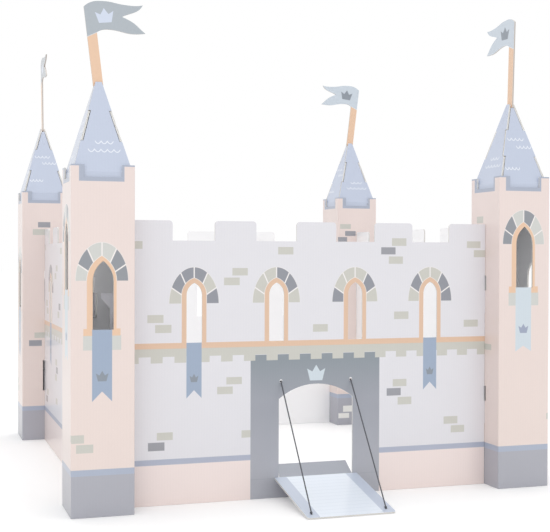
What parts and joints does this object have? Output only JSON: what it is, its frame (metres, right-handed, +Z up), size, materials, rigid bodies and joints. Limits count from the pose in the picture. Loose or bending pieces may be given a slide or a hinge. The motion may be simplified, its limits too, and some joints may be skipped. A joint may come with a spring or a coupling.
{
  "type": "cardboard castle",
  "caption": "Toy castle of slotted card: square towers with pointed roofs and flags, battlement walls with pointed windows, and a gate whose bridge hangs on a cord.",
  "frame": {"origin": "middle of the footprint, lowered bridge included, on the floor", "axes": "+Z up, -Y the gate side where the bridge lies, +X to the right seen from the gate side"},
  "size_m": [0.567, 0.642, 0.5696],
  "materials": {
    "tower_card": "matt printed card, pale pink masonry",
    "wall_card": "matt printed card, pale grey masonry",
    "roof_card": "matt printed card, pale slate blue",
    "flag_card": "matt printed card, grey blue cloth on a peach pole",
    "deck_card": "matt printed card, pale blue planks between grey blue rails",
    "tail_card": "matt printed card, grey",
    "cord": "thin dark twisted cord"
  },
  "bodies": {
    "castle": {"tower_front_left": "tower_card", "tower_front_right": "tower_card", "tower_back_right": "tower_card", "tower_back_left": "tower_card", "wall_front": "wall_card", "wall_right": "wall_card", "wall_back": "wall_card", "wall_left": "wall_card", "roof_front_left_front": "roof_card", "roof_front_left_right": "roof_card", "roof_front_left_back": "roof_card", "roof_front_left_left": "roof_card", "roof_front_right_front": "roof_card", "roof_front_right_right": "roof_card", "roof_front_right_back": "roof_card", "roof_front_right_left": "roof_card", "roof_back_right_front": "roof_card", "roof_back_right_right": "roof_card", "roof_back_right_back": "roof_card", "roof_back_right_left": "roof_card", "roof_back_left_front": "roof_card", "roof_back_left_right": "roof_card", "roof_back_left_back": "roof_card", "roof_back_left_left": "roof_card", "flag_front_left": "flag_card", "flag_front_right": "flag_card", "flag_back_right": "flag_card", "flag_back_left": "flag_card", "bridge_tail": "tail_card", "bridge_cord": "cord"},
    "bridge": {"bridge_deck": "deck_card"}
  },
  "joints": [
    {"name": "bridge_hinge", "type": "hinge", "parent": "castle", "child": "bridge", "pos_m": [0, -0.21402, 0.023], "axis": [-1, 0, 0], "range_deg": [0, 99], "deforming": ["bridge_cord"]}
  ]
}
